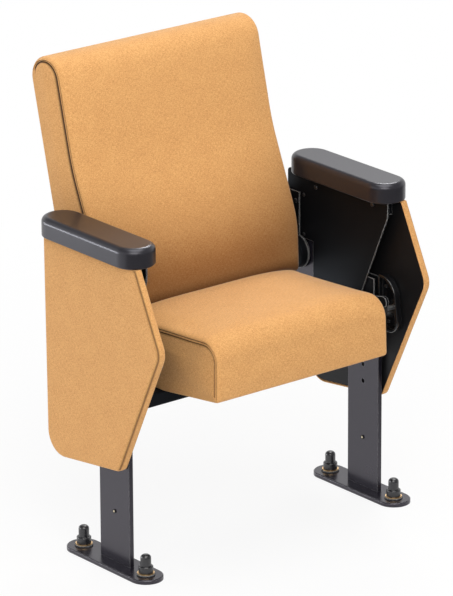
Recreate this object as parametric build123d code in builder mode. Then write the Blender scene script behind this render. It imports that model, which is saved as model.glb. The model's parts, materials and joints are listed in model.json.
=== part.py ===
from build123d import *
import math
import os

os.makedirs("parts", exist_ok=True)

# Tip-up auditorium seat, in millimetres. Z is up, the sitter faces -Y and X runs across the seat.
# The origin lies on the floor, under the middle of the seat's whole width and depth.
# Right-hand pieces are drawn and then mirrored to the left.

# Driving sizes: legs and feet
leg_spacing = 590  # between the middle planes of the two legs
leg_y = -69.6  # middle of the legs, from the middle of the whole depth
leg_thick = 10
leg_depth = 87
leg_edge = 0.8
leg_top = 388
foot_length = 248
foot_width = 63
foot_thick = 8
foot_behind = 8  # how far the foot plate's middle lies behind the leg's
foot_edge = 1.5
anchor_spacing = 184
rivet_height = 106
rivet_dia = 5
rivet_head_dia = 8
rivet_head_rise = 1.6

# Floor anchors
stud_dia = 12
stud_gap = 0.4
washer_dia = 34
washer_thick = 2.4
seal_dia = 31.6
seal_thick = 1.8
nut_flats = 18
nut_height = 10
cap_skirt_dia = 27
cap_skirt_height = 13
cap_dome_dia = 19.6
cap_height = 34.5
cap_foot_round = 0.6
cap_shoulder_round = 2
cap_dome_round = 6.5

# Standards: hinge channel, inner plate, rails
channel_wall = 2.5
channel_gap = 4.5  # between the leg and the channel's inner flange
channel_front = -38  # from the leg's middle
channel_bottom = 318
channel_top = 432
plate_thick = 3
plate_rear = 208
plate_front = -79
plate_knee = 562  # where the plate's front edge starts to slope back
plate_slope_end = (26, 328)
plate_notch = (134, 462)
plate_rounds = [8, 0, 45, 16, 28, 2, 6]
rail_front = -66
rail_rear = 190
rail_height = 30
rail_tongue = 12  # how far the rail stands up into the armrest
post_front = 118
post_bottom = 372

# Armrests
armrest_length = 285
armrest_width = 78
armrest_thick = 38
armrest_base = 592
armrest_behind = 48
armrest_inset = 7
armrest_top_round = 11
armrest_foot_round = 3
pocket_gap = 0.3

# Side panels, outline from the leg's middle
board_thick = 12
cover_thick = 4
cover_edge = 3
cover_round = 2.5
panel_rear = 178
panel_low_rear = 174
panel_low_front = (-40, 197)
panel_nose = (-161, 449)
panel_top_front = -91
panel_rounds = [0, 44, 18, 34, 0]
panel_screw_height = 252
spare_hole_height = 219
panel_hole_dia = 9
panel_screw_dia = 6
panel_screw_head = 8.6
panel_screw_sink = 5
panel_screw_rise = 3.4
panel_screw_key = 4
panel_screw_reach = 9

# Pivot of the seat, stop peg and stop housing, from the leg's middle
pivot_y = 30
pivot_z = 368
pivot_dia = 16
pivot_gap = 12  # between the inner plate and the seat arm
pivot_collar_dia = 28
pivot_collar = 4
pivot_inner_end = 233
collar_edge = 1.2
ring_rim = 5
running_gap = 0.05
peg_y = -84
peg_z = 388
peg_dia = 9
buffer_dia = 14
buffer_length = 10
contact_gap = 0.3
housing_depth = 13
housing_floor = 4
housing_rim = 5
housing_round = 2
housing_gap = 0.3  # between the housing and the leg's front edge
housing_top = 443
housing_top_front = -88
housing_low = 336
housing_low_front = -102
housing_rounds = [40, 22]
housing_screw_places = [(-58, 421), (-66, 354)]

# How much of a cushion's crown stands at each share of its half width
crown_shares = {-1: 0, -0.72: 0.8, 0: 1, 0.72: 0.8, 1: 0}

# Seat: cushion, board, underpan, beam, arms
seat_half_width = 200
seat_front = -175
seat_rear = 105
seat_bottom = 318
seat_bottom_front = 338
seat_flat_from = -15
seat_top_front = 452
seat_top_rear = 434
seat_crown = 10
seat_rounds = [8, 40, 18, 16, 60]
seat_wall = 13
seat_pan_depth = 26  # from the cushion's underside up to the board
seat_board_thick = 12
pan_wall = 3
beam_front = -15
beam_depth = 60
beam_height = 27
beam_wall = 2.5
beam_round = 4
arm_thick = 6
arm_eye_radius = 24
arm_bush_dia = 21
bush_flange = 1.5
nose_front = -98
nose_height = 22
nose_rear = -52
arm_margin = 3
arm_rounds = [8, 10, 50, 23, 8, 8, 30, 16]
seat_bolt_x = 120
seat_bolt_dia = 8
seat_bolt_flats = 13
seat_bolt_rise = 4

# Return spring round the pivot
spring_wire = 3
spring_radius = 12.5
spring_turns = 5
spring_leg = 16

# Backrest, drawn in a frame that leans back: v runs to the rear, u runs up the lean
back_side_gap = 27  # between the back's side and the seat's arm
back_lean = 13.8
back_foot_y = 125.9
back_foot_z = 422.3
back_length = 488
back_thick = 86
back_belly = 30.5
back_belly_height = 93
back_belly_end = 281
back_low_belly = 9.5
back_crown = 7
back_front_rounds = [14, 180, 400, 43]
back_top_rear_round = 41
back_foot_round = 10
back_rim = 15
back_board_thick = 10
back_panel_thick = 11

# Back brackets, whose wings reach into the cushion's sides, and their round clamp bosses
bracket_thick = 3
bracket_front = 171
bracket_low = 52  # up the lean, as is bracket_high
bracket_high = 148
bracket_overlap = 70  # how far a wing reaches into the back
boss_y = 176
boss_z = 434
boss_radius = 31
boss_margin = 2
boss_thick = 15
boss_recess_radius = 19
boss_recess = 4
boss_round = 3
boss_screw_circle = 22
boss_screw_count = 4

# Screws
screw_head_dia = 9
screw_head_rise = 2.6
screw_dia = 5
screw_reach = 14
small_head_dia = 7
small_head_rise = 2
back_bolt_dia = 6
back_bolt_head_dia = 14
back_bolt_rise = 3
back_bolt_taper = 40
back_bolt_inset = 18
arm_screw_places = [(-37, 578), (125, 571)]
post_screw_places = [(160, 548), (160, 470)]
bracket_bolt_places = [(180.5, 532), (180.5, 482)]

# Places across the seat, worked out from the leg
leg_inner = leg_spacing / 2 - leg_thick / 2
leg_outer = leg_spacing / 2 + leg_thick / 2
panel_inner = leg_outer + channel_wall
panel_outer = panel_inner + board_thick + cover_thick
flange_inner = leg_inner - channel_gap
channel_inner = flange_inner - channel_wall
plate_inner = channel_inner - plate_thick
arm_outer = plate_inner - pivot_gap
arm_inner = arm_outer - arm_thick
bracket_inner = plate_inner - bracket_thick
back_half_width = arm_inner - back_side_gap
bracket_reach = back_half_width - bracket_overlap
foot_y = leg_y + foot_behind
armrest_x = (plate_inner + panel_outer) / 2 - armrest_inset
lean = math.radians(back_lean)

# Sketch frames: y and z from the leg's middle, and the leaning frame of the back
standard = Plane(origin=(0, leg_y, 0), x_dir=(0, 1, 0), z_dir=(1, 0, 0))
back_frame = Plane(
    origin=(0, leg_y + back_foot_y, back_foot_z),
    x_dir=(0, math.cos(lean), -math.sin(lean)),
    z_dir=(1, 0, 0),
)


def back_point(v, u):
    """The y (from the leg's middle) and z of a point of the leaning frame."""
    return (
        back_foot_y + v * math.cos(lean) + u * math.sin(lean),
        back_foot_z - v * math.sin(lean) + u * math.cos(lean),
    )


def save(piece, name):
    piece.part.label = name
    export_step(piece.part, f"parts/{name}.step")


def save_pair(right, name):
    """Writes a right-hand piece and its mirror image for the left."""
    save(right, f"{name}_right")
    with BuildPart() as left:
        mirror(right.part, about=Plane.YZ)
    save(left, f"{name}_left")


def save_group(right, name):
    """Writes right-hand fasteners and their mirror images as one node."""
    with BuildPart() as group:
        add(right.part)
        mirror(right.part, about=Plane.YZ)
    save(group, name)


# Foot plates
anchor_ends = [(0, -anchor_spacing / 2), (0, anchor_spacing / 2)]

with BuildPart() as foot_plate:
    with BuildSketch(Plane((leg_spacing / 2, foot_y, 0))):
        SlotOverall(foot_length, foot_width, rotation=90)
        with Locations(*anchor_ends):
            Circle(stud_dia / 2 + stud_gap, mode=Mode.SUBTRACT)
    extrude(amount=foot_thick)
    top_edges = foot_plate.faces().sort_by(Axis.Z)[-1].outer_wire().edges()
    chamfer(top_edges, foot_edge)
save_pair(foot_plate, "foot_plate")

# Legs: flat bars with the rivet hole, the panel screw's seat and the spare hole
with BuildPart() as leg:
    with BuildSketch(Plane((leg_spacing / 2, leg_y, foot_thick))):
        Rectangle(leg_thick, leg_depth)
    extrude(amount=leg_top - foot_thick)
    chamfer(leg.edges().filter_by(Axis.Z), leg_edge)
    with BuildSketch(standard.offset(leg_inner)):
        with Locations((0, rivet_height)):
            Circle(rivet_dia / 2)
        with Locations((0, panel_screw_height)):
            Circle(panel_screw_dia / 2)
        with Locations((0, spare_hole_height)):
            Circle(panel_hole_dia / 2)
        with Locations((pivot_y, pivot_z)):
            Circle(pivot_dia / 2)
    extrude(amount=leg_thick, mode=Mode.SUBTRACT)
    with BuildSketch(standard.offset(leg_inner)):
        with Locations((0, panel_screw_height)):
            Circle(panel_hole_dia / 2)
    extrude(amount=panel_screw_sink, mode=Mode.SUBTRACT)
save_pair(leg, "leg")

with BuildPart() as rivet:
    with BuildSketch(standard.offset(leg_inner)):
        with Locations((0, rivet_height)):
            Circle(rivet_dia / 2)
    extrude(amount=leg_thick)
    for face_x, rise in ((leg_inner, -rivet_head_rise), (leg_outer, rivet_head_rise)):
        with BuildSketch(standard.offset(face_x)):
            with Locations((0, rivet_height)):
                Circle(rivet_head_dia / 2)
        extrude(amount=rise)
save_group(rivet, "leg_rivets")

# Floor anchors: stud, washer, seal ring, nut and domed cap on each of the four holes
anchor_places = [
    (side * leg_spacing / 2, foot_y + end * anchor_spacing / 2) for side in (-1, 1) for end in (-1, 1)
]
seal_base = foot_thick + washer_thick
nut_base = seal_base + seal_thick


def anchor_rings(outer_dia, base, thick):
    with BuildPart() as rings:
        with BuildSketch(Plane.XY.offset(base)):
            with Locations(*anchor_places):
                Circle(outer_dia / 2)
                Circle(stud_dia / 2, mode=Mode.SUBTRACT)
        extrude(amount=thick)
    return rings


save(anchor_rings(washer_dia, foot_thick, washer_thick), "anchor_washers")
save(anchor_rings(seal_dia, seal_base, seal_thick), "anchor_seals")

with BuildPart() as anchor_studs:
    with BuildSketch():
        with Locations(*anchor_places):
            Circle(stud_dia / 2)
    extrude(amount=nut_base + nut_height)
save(anchor_studs, "anchor_studs")

with BuildPart() as anchor_nuts:
    with BuildSketch(Plane.XY.offset(nut_base)):
        with Locations(*anchor_places):
            RegularPolygon(nut_flats / 2, 6, major_radius=False)
            Circle(stud_dia / 2, mode=Mode.SUBTRACT)
    extrude(amount=nut_height)
save(anchor_nuts, "anchor_nuts")

cap_hollow = nut_flats / math.sqrt(3) + stud_gap
cap_inside = nut_height + stud_gap
with BuildPart() as anchor_cap:
    with BuildSketch(Plane.XZ):
        with BuildLine():
            FilletPolyline(
                (0, 0),
                (cap_skirt_dia / 2, 0),
                (cap_skirt_dia / 2, cap_skirt_height),
                (cap_dome_dia / 2, cap_skirt_height),
                (cap_dome_dia / 2, cap_height),
                (0, cap_height),
                radius=[0, cap_foot_round, cap_shoulder_round, cap_foot_round, cap_dome_round, 0],
                close=True,
            )
        make_face()
    revolve(axis=Axis.Z)
    with BuildSketch():
        Circle(cap_hollow)
    extrude(amount=cap_inside, mode=Mode.SUBTRACT)

with BuildPart() as anchor_caps:
    with Locations(*[(x, y, nut_base) for x, y in anchor_places]):
        add(anchor_cap.part)
save(anchor_caps, "anchor_caps")

rail_base = armrest_base - rail_height
block_width = panel_inner - channel_inner

# Hinge channels: a U over the top of the leg, its outer flange drawn forward as a lug
channel_rear = leg_depth / 2 + channel_wall
channel_height = channel_top - channel_bottom
channel_middle = channel_bottom + channel_height / 2
with BuildPart() as hinge_channel:
    with BuildSketch(standard.offset(channel_inner)):
        with Locations(((channel_front + channel_rear) / 2, channel_middle)):
            Rectangle(channel_rear - channel_front, channel_height)
    extrude(amount=block_width)
    with BuildSketch(standard.offset(flange_inner)):
        with Locations(((channel_front + leg_depth / 2) / 2, channel_middle)):
            Rectangle(leg_depth / 2 - channel_front, channel_height)
    extrude(amount=leg_outer - flange_inner, mode=Mode.SUBTRACT)
    with BuildSketch(standard.offset(leg_outer)):
        with BuildLine():
            FilletPolyline(
                (channel_front, housing_top - housing_rim),
                (housing_top_front + housing_rim, housing_top - housing_rim),
                (housing_low_front + housing_rim, housing_low + housing_rim),
                (channel_front, housing_low + housing_rim),
                radius=[0, *housing_rounds, 0],
                close=True,
            )
        make_face()
    extrude(amount=channel_wall)
    with BuildSketch(standard.offset(channel_inner)):
        with Locations((pivot_y, pivot_z)):
            Circle(pivot_dia / 2)
    extrude(amount=channel_wall, mode=Mode.SUBTRACT)
save_pair(hinge_channel, "hinge_channel")

# Inner plates, with the holes for the pivot and the screws
with BuildPart() as inner_plate:
    with BuildSketch(standard.offset(plate_inner)):
        with BuildLine():
            FilletPolyline(
                (plate_rear, armrest_base),
                (plate_front, armrest_base),
                (plate_front, plate_knee),
                plate_slope_end,
                (plate_notch[0], plate_slope_end[1]),
                plate_notch,
                (plate_rear, plate_notch[1]),
                radius=plate_rounds,
                close=True,
            )
        make_face()
        with Locations((pivot_y, pivot_z)):
            Circle(pivot_dia / 2, mode=Mode.SUBTRACT)
        with Locations(*arm_screw_places, *post_screw_places, *bracket_bolt_places):
            Circle(screw_dia / 2, mode=Mode.SUBTRACT)
    extrude(amount=plate_thick)
save_pair(inner_plate, "inner_plate")


# Arm rails and back posts: the blocks between the inner plate and the side panel
def drilled_block(front, rear, base, top, screw_places):
    with BuildPart() as block:
        with BuildSketch(standard.offset(channel_inner)):
            with Locations(((front + rear) / 2, (base + top) / 2)):
                Rectangle(rear - front, top - base)
        extrude(amount=block_width)
        with BuildSketch(standard.offset(channel_inner)):
            with Locations(*screw_places):
                Circle(screw_dia / 2)
        extrude(amount=screw_reach, mode=Mode.SUBTRACT)
    return block


rail_top = armrest_base + rail_tongue
save_pair(drilled_block(rail_front, rail_rear, rail_base, rail_top, arm_screw_places), "arm_rail")
post_holes = post_screw_places + bracket_bolt_places
save_pair(drilled_block(post_front, rail_rear, post_bottom, rail_base, post_holes), "back_post")


def side_screws(places, head_x, head_dia, head_rise):
    """Screws along X into the rail or post, their heads on the plane head_x."""
    with BuildPart() as screws:
        with BuildSketch(standard.offset(head_x)):
            with Locations(*places):
                Circle(head_dia / 2)
        extrude(amount=-head_rise)
        with BuildSketch(standard.offset(head_x)):
            with Locations(*places):
                Circle(screw_dia / 2)
        extrude(amount=channel_inner + screw_reach - head_x)
        head_faces = screws.faces().filter_by(Axis.X).group_by(Axis.X)[0]
        chamfer(head_faces.edges(), head_rise / 3)
    return screws


armrest_screws = side_screws(arm_screw_places, plate_inner, screw_head_dia, screw_head_rise)
save_group(armrest_screws, "armrest_screws")
post_screws = side_screws(post_screw_places, plate_inner, small_head_dia, small_head_rise)
save_group(post_screws, "post_screws")
bracket_screws = side_screws(bracket_bolt_places, bracket_inner, screw_head_dia, screw_head_rise)
save_group(bracket_screws, "bracket_screws")

# Armrests: moulded pads with a pocket for the rail's tongue
rail_middle = (rail_front + rail_rear) / 2
with BuildPart() as armrest:
    with BuildSketch(Plane((armrest_x, leg_y + armrest_behind, armrest_base))):
        SlotOverall(armrest_length, armrest_width, rotation=90)
    extrude(amount=armrest_thick)
    fillet(armrest.faces().sort_by(Axis.Z)[-1].outer_wire().edges(), armrest_top_round)
    fillet(armrest.faces().sort_by(Axis.Z)[0].outer_wire().edges(), armrest_foot_round)
    with BuildSketch(Plane((channel_inner + block_width / 2, leg_y + rail_middle, armrest_base))):
        Rectangle(block_width + 2 * pocket_gap, rail_rear - rail_front + 2 * pocket_gap)
    extrude(amount=rail_tongue, mode=Mode.SUBTRACT)
save_pair(armrest, "armrest")


# Side panels: a board, and a padded cover that wraps its edges
with BuildLine() as panel_outline:
    FilletPolyline(
        (panel_rear, armrest_base),
        (panel_rear, panel_low_rear),
        panel_low_front,
        panel_nose,
        (panel_top_front, armrest_base),
        radius=panel_rounds,
        close=True,
    )

with BuildPart() as panel_board:
    with BuildSketch(standard.offset(panel_inner)):
        make_face(panel_outline.edges())
        offset(amount=-cover_edge, kind=Kind.INTERSECTION)
        with Locations((0, panel_screw_height)):
            Circle(panel_screw_dia / 2, mode=Mode.SUBTRACT)
    extrude(amount=board_thick)
save_pair(panel_board, "panel_board")

with BuildPart() as panel_cover:
    with BuildSketch(standard.offset(panel_inner)):
        make_face(panel_outline.edges())
    extrude(amount=board_thick + cover_thick)
    fillet(panel_cover.faces().sort_by(Axis.X)[-1].outer_wire().edges(), cover_round)
    with BuildSketch(standard.offset(panel_inner)):
        make_face(panel_outline.edges())
        offset(amount=-cover_edge, kind=Kind.INTERSECTION)
    extrude(amount=board_thick, mode=Mode.SUBTRACT)
save_pair(panel_cover, "panel_cover")

# Panel screws, sunk in the legs, and the spacers between leg and panel
screw_seat = leg_inner + panel_screw_sink
with BuildPart() as panel_screw:
    with BuildSketch(standard.offset(screw_seat)):
        with Locations((0, panel_screw_height)):
            Circle(panel_screw_dia / 2)
    extrude(amount=panel_inner + panel_screw_reach - screw_seat)
    with BuildSketch(standard.offset(screw_seat)):
        with Locations((0, panel_screw_height)):
            Circle(panel_screw_head / 2)
    extrude(amount=-panel_screw_rise)
    with BuildSketch(standard.offset(screw_seat - panel_screw_rise)):
        with Locations((0, panel_screw_height)):
            RegularPolygon(panel_screw_key / 2, 6, major_radius=False)
    extrude(amount=panel_screw_rise / 2, mode=Mode.SUBTRACT)
save_group(panel_screw, "panel_screws")

with BuildPart() as panel_spacer:
    with BuildSketch(standard.offset(leg_outer)):
        with Locations((0, panel_screw_height)):
            Circle(panel_screw_dia)
            Circle(panel_screw_dia / 2, mode=Mode.SUBTRACT)
    extrude(amount=channel_wall)
save_group(panel_spacer, "panel_spacers")


# Stop housings: dished covers over the channel's lug, each with two screws
housing_rear = -leg_depth / 2 - housing_gap
with BuildLine() as housing_outline:
    FilletPolyline(
        (housing_rear, housing_top),
        (housing_top_front, housing_top),
        (housing_low_front, housing_low),
        (housing_rear, housing_low),
        radius=[housing_rim, *housing_rounds, housing_rim],
        close=True,
    )

with BuildPart() as stop_housing:
    with BuildSketch(standard.offset(leg_outer)):
        make_face(housing_outline.edges())
    extrude(amount=-housing_depth)
    fillet(stop_housing.faces().sort_by(Axis.X)[0].outer_wire().edges(), housing_round)
    with BuildSketch(standard.offset(leg_outer - housing_floor)):
        make_face(housing_outline.edges())
        offset(amount=-housing_rim, kind=Kind.INTERSECTION)
    extrude(amount=-housing_depth, mode=Mode.SUBTRACT)
    with BuildSketch(standard.offset(leg_outer)):
        with Locations((peg_y, peg_z)):
            Circle(peg_dia / 2)
        with Locations(*housing_screw_places):
            Circle(screw_dia / 2)
    extrude(amount=-housing_depth, mode=Mode.SUBTRACT)
save_pair(stop_housing, "stop_housing")

with BuildPart() as housing_screws:
    with BuildSketch(standard.offset(leg_outer)):
        with Locations(*housing_screw_places):
            Circle(screw_dia / 2)
    extrude(amount=-housing_floor)
    with BuildSketch(standard.offset(leg_outer - housing_floor)):
        with Locations(*housing_screw_places):
            Circle(small_head_dia / 2)
    extrude(amount=-small_head_rise)
save_group(housing_screws, "housing_screws")

# Stop pegs and their rubber sleeves, which the seat's arms rest on
with BuildPart() as stop_peg:
    with BuildSketch(standard.offset(arm_inner)):
        with Locations((peg_y, peg_z)):
            Circle(peg_dia / 2)
    extrude(amount=leg_outer - arm_inner)
save_pair(stop_peg, "stop_peg")

with BuildPart() as stop_buffer:
    with BuildSketch(standard.offset(arm_inner)):
        with Locations((peg_y, peg_z)):
            Circle(buffer_dia / 2)
            Circle(peg_dia / 2, mode=Mode.SUBTRACT)
    extrude(amount=buffer_length)
save_pair(stop_buffer, "stop_buffer")

# Pivot shafts, fixed in the standards, and the rings round them
with BuildPart() as pivot_shaft:
    with BuildSketch(standard.offset(pivot_inner_end)):
        with Locations((pivot_y, pivot_z)):
            Circle(pivot_dia / 2)
    extrude(amount=leg_outer - pivot_inner_end)
    with BuildSketch(standard.offset(pivot_inner_end)):
        with Locations((pivot_y, pivot_z)):
            Circle(pivot_collar_dia / 2)
    extrude(amount=pivot_collar)
    chamfer(pivot_shaft.faces().sort_by(Axis.X)[0].edges(), collar_edge)
save_pair(pivot_shaft, "pivot_shaft")


def pivot_ring(inner_x, outer_x):
    with BuildPart() as ring:
        with BuildSketch(standard.offset(inner_x)):
            with Locations((pivot_y, pivot_z)):
                Circle(pivot_dia / 2 + ring_rim)
                Circle(pivot_dia / 2, mode=Mode.SUBTRACT)
        extrude(amount=outer_x - inner_x)
    return ring


save_group(pivot_ring(flange_inner, leg_inner), "pivot_spacers")
save_group(pivot_ring(arm_outer + bush_flange + contact_gap, plate_inner), "thrust_rings")

# Seat arms: plates that hang on the pivots and rest on the stop pegs
nose_low = peg_z + buffer_dia / 2 + contact_gap
beam_base = seat_bottom - beam_height
arm_low_front = beam_front - arm_margin
with BuildPart() as seat_arm:
    with BuildSketch(standard.offset(arm_inner)):
        with BuildLine():
            FilletPolyline(
                (nose_front, nose_low),
                (nose_front, nose_low + nose_height),
                (pivot_y, pivot_z + arm_eye_radius),
                (pivot_y + arm_eye_radius, pivot_z + arm_eye_radius),
                (pivot_y + arm_eye_radius, beam_base - arm_margin),
                (arm_low_front, beam_base - arm_margin),
                (arm_low_front, seat_bottom + beam_height),
                (nose_rear, nose_low),
                radius=arm_rounds,
                close=True,
            )
        make_face()
        with Locations((pivot_y, pivot_z)):
            Circle(arm_bush_dia / 2, mode=Mode.SUBTRACT)
    extrude(amount=arm_thick)
save_pair(seat_arm, "seat_arm")

with BuildPart() as seat_bush:
    with BuildSketch(standard.offset(arm_inner)):
        with Locations((pivot_y, pivot_z)):
            Circle(arm_bush_dia / 2)
    extrude(amount=arm_thick)
    with BuildSketch(standard.offset(arm_outer)):
        with Locations((pivot_y, pivot_z)):
            Circle(arm_bush_dia / 2 + bush_flange)
    extrude(amount=bush_flange)
    with BuildSketch(standard.offset(arm_inner)):
        with Locations((pivot_y, pivot_z)):
            Circle(pivot_dia / 2 + running_gap)
    extrude(amount=arm_thick + bush_flange, mode=Mode.SUBTRACT)
save_pair(seat_bush, "seat_bush")

# Seat beam: a box tube under the seat, from arm to arm, and the bolts that hold the seat to it
beam_middle = beam_front + beam_depth / 2
seat_bolt_places = [(side * seat_bolt_x, leg_y + beam_middle) for side in (-1, 1)]
with BuildPart() as seat_beam:
    with BuildSketch(standard.offset(-arm_inner)):
        with Locations((beam_middle, seat_bottom - beam_height / 2)):
            RectangleRounded(beam_depth, beam_height, beam_round)
            RectangleRounded(
                beam_depth - 2 * beam_wall,
                beam_height - 2 * beam_wall,
                beam_round - beam_wall,
                mode=Mode.SUBTRACT,
            )
    extrude(amount=2 * arm_inner)
    with BuildSketch(Plane.XY.offset(beam_base)):
        with Locations(*seat_bolt_places):
            Circle(seat_bolt_dia / 2)
    extrude(amount=beam_height, mode=Mode.SUBTRACT)
save(seat_beam, "seat_beam")

seat_board_base = seat_bottom + seat_pan_depth
bolt_end = seat_board_base + seat_board_thick / 2
with BuildPart() as seat_bolts:
    with BuildSketch(Plane.XY.offset(beam_base)):
        with Locations(*seat_bolt_places):
            Circle(seat_bolt_dia / 2)
    extrude(amount=bolt_end - beam_base)
    with BuildSketch(Plane.XY.offset(beam_base)):
        with Locations(*seat_bolt_places):
            RegularPolygon(seat_bolt_flats / 2, 6, major_radius=False)
    extrude(amount=-seat_bolt_rise)
save(seat_bolts, "seat_bolts")

# Seat cushion: lofted across the seat, highest in the middle, with a pocket for the board
pocket_front = seat_front + seat_wall
pocket_rear = seat_rear - seat_wall
board_top = seat_board_base + seat_board_thick
underside_slope = (seat_bottom - seat_bottom_front) / (seat_flat_from - seat_front)
pocket_front_low = seat_bottom + underside_slope * (pocket_front - seat_flat_from)

with BuildPart() as seat_cushion:
    for share, crown_share in crown_shares.items():
        crown = seat_crown * crown_share
        with BuildSketch(standard.offset(share * seat_half_width)):
            with BuildLine():
                FilletPolyline(
                    (seat_front, seat_bottom_front),
                    (seat_front - crown / 3, seat_top_front + crown),
                    (seat_rear, seat_top_rear + crown),
                    (seat_rear, seat_bottom),
                    (seat_flat_from, seat_bottom),
                    radius=seat_rounds,
                    close=True,
                )
            make_face()
    loft()
    with BuildSketch(standard.offset(seat_wall - seat_half_width)):
        with Locations(((pocket_front + pocket_rear) / 2, (board_top + seat_bottom - seat_wall) / 2)):
            Rectangle(pocket_rear - pocket_front, board_top - seat_bottom + seat_wall)
    extrude(amount=2 * (seat_half_width - seat_wall), mode=Mode.SUBTRACT)
save(seat_cushion, "seat_cushion")

# Seat board, and the underpan: a shallow tray that closes the pocket under the board
fill_front = pocket_front + pocket_gap
fill_rear = pocket_rear - pocket_gap
fill_half = seat_half_width - seat_wall - pocket_gap
with BuildPart() as seat_board:
    with BuildSketch(standard.offset(-fill_half)):
        with Locations(((fill_front + fill_rear) / 2, (seat_board_base + board_top) / 2)):
            Rectangle(fill_rear - fill_front, seat_board_thick)
    extrude(amount=2 * fill_half)
    with BuildSketch(Plane.XY.offset(seat_board_base)):
        with Locations(*seat_bolt_places):
            Circle(seat_bolt_dia / 2)
    extrude(amount=bolt_end - seat_board_base, mode=Mode.SUBTRACT)
save(seat_board, "seat_board")


with BuildPart() as seat_underpan:
    for wall, mode in ((0, Mode.ADD), (pan_wall, Mode.SUBTRACT)):
        with BuildSketch(standard.offset(wall - fill_half)):
            with BuildLine():
                Polyline(
                    (fill_front + wall, pocket_front_low + wall),
                    (seat_flat_from, seat_bottom + wall),
                    (fill_rear - wall, seat_bottom + wall),
                    (fill_rear - wall, seat_board_base),
                    (fill_front + wall, seat_board_base),
                    close=True,
                )
            make_face()
        extrude(amount=2 * (fill_half - wall), mode=mode)
    with BuildSketch(Plane.XY.offset(seat_bottom)):
        with Locations(*seat_bolt_places):
            Circle(seat_bolt_dia / 2)
    extrude(amount=pan_wall, mode=Mode.SUBTRACT)
save(seat_underpan, "seat_underpan")

# Return springs: open coils round the pivots, each with two straight ends
spring_from = pivot_inner_end + pivot_collar + contact_gap + spring_wire / 2
spring_to = arm_inner - contact_gap - spring_wire / 2
leg_turns = spring_leg / (2 * math.pi * spring_radius)
spring_pitch = (spring_to - spring_from) / (spring_turns + 2 * leg_turns)
spring_start = spring_from + spring_pitch * leg_turns
quarter = math.pi / 2


def coil_point(turn):
    """A point of the coil's centre line, turn being in radians round the pivot's axis."""
    return Vector(
        spring_start + spring_pitch * turn / (2 * math.pi),
        leg_y + pivot_y + spring_radius * math.cos(turn),
        pivot_z + spring_radius * math.sin(turn),
    )


def coil_way(turn):
    return Vector(
        spring_pitch / (2 * math.pi),
        -spring_radius * math.sin(turn),
        spring_radius * math.cos(turn),
    ).normalized()


def biarc(start, start_way, end, end_way):
    """Two arcs that leave start along start_way and reach end along end_way."""
    chord = end - start
    along = chord.dot(start_way + end_way)
    spread = 2 * (1 - start_way.dot(end_way))
    reach = (math.sqrt(along**2 + spread * chord.dot(chord)) - along) / spread
    middle = (start + end + (start_way - end_way) * reach) * 0.5
    TangentArc(start, middle, tangent=start_way)
    TangentArc(end, middle, tangent=end_way * -1)


with BuildPart() as return_spring:
    with BuildLine() as coil:
        coil_foot = coil_point(0) - coil_way(0) * spring_leg
        Line(coil_foot, coil_point(0))
        for step in range(4 * spring_turns):
            turn = step * quarter
            next_turn = turn + quarter
            biarc(coil_point(turn), coil_way(turn), coil_point(next_turn), coil_way(next_turn))
        coil_end = coil_point(4 * spring_turns * quarter)
        Line(coil_end, coil_end + coil_way(0) * spring_leg)
    with BuildSketch(Plane(origin=coil_foot, z_dir=coil_way(0))):
        Circle(spring_wire / 2)
    sweep(path=coil.wires()[0])
save_pair(return_spring, "return_spring")
print("least gap between the spring's turns:", round(spring_pitch - spring_wire, 2))

# Backrest cushion: lofted across the back, with a rear pocket for the board and the rear panel
pocket_top = back_length - back_top_rear_round
board_front = back_thick - back_panel_thick - back_board_thick
wing_front = board_front - bracket_thick
with BuildPart() as back_cushion:
    for share, crown_share in crown_shares.items():
        crown = back_crown * crown_share
        with BuildSketch(back_frame.offset(share * back_half_width)):
            with BuildLine():
                FilletPolyline(
                    (-back_low_belly - crown / 2, 0),
                    (-back_belly - crown, back_belly_height),
                    (-crown, back_belly_end),
                    (-crown, back_length),
                    (back_thick, back_length),
                    (back_thick, 0),
                    radius=[*back_front_rounds, back_top_rear_round, back_foot_round],
                    close=True,
                )
            make_face()
    loft()
    pocket_depth = back_board_thick + back_panel_thick
    with BuildSketch(back_frame.offset(back_rim - back_half_width)):
        with Locations((back_thick, (back_rim + pocket_top) / 2)):
            Rectangle(2 * pocket_depth, pocket_top - back_rim)
    extrude(amount=2 * (back_half_width - back_rim), mode=Mode.SUBTRACT)
    for side in (-1, 1):
        with BuildSketch(back_frame.offset(side * (bracket_reach - pocket_gap))):
            with Locations((wing_front + bracket_thick / 2, (bracket_low + bracket_high) / 2)):
                Rectangle(bracket_thick + 2 * pocket_gap, bracket_high - bracket_low + 2 * pocket_gap)
        extrude(amount=side * back_half_width, mode=Mode.SUBTRACT)
save(back_cushion, "back_cushion")

# A frame on the back's rear face, x across the seat and y down the lean
rear_frame = Plane(
    origin=(0, leg_y + back_point(back_thick, 0)[0], back_point(back_thick, 0)[1]),
    x_dir=(1, 0, 0),
    z_dir=(0, math.cos(lean), -math.sin(lean)),
)
back_bolt_places = [
    (side * (bracket_reach + back_bolt_inset), -u)
    for side in (-1, 1)
    for u in (bracket_low + back_bolt_inset, bracket_high - back_bolt_inset)
]


def back_layer(depth, thick):
    """A layer of the rear pocket, its rear face at the given depth."""
    with BuildPart() as layer:
        with BuildSketch(rear_frame.offset(-depth)):
            with Locations((0, -(back_rim + pocket_top) / 2)):
                Rectangle(
                    2 * (back_half_width - back_rim - pocket_gap),
                    pocket_top - back_rim - 2 * pocket_gap,
                )
            with Locations(*back_bolt_places):
                Circle(back_bolt_dia / 2, mode=Mode.SUBTRACT)
        extrude(amount=-thick)
    return layer


save(back_layer(back_panel_thick, back_board_thick), "back_board")
save(back_layer(0, back_panel_thick), "back_rear_panel")

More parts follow.
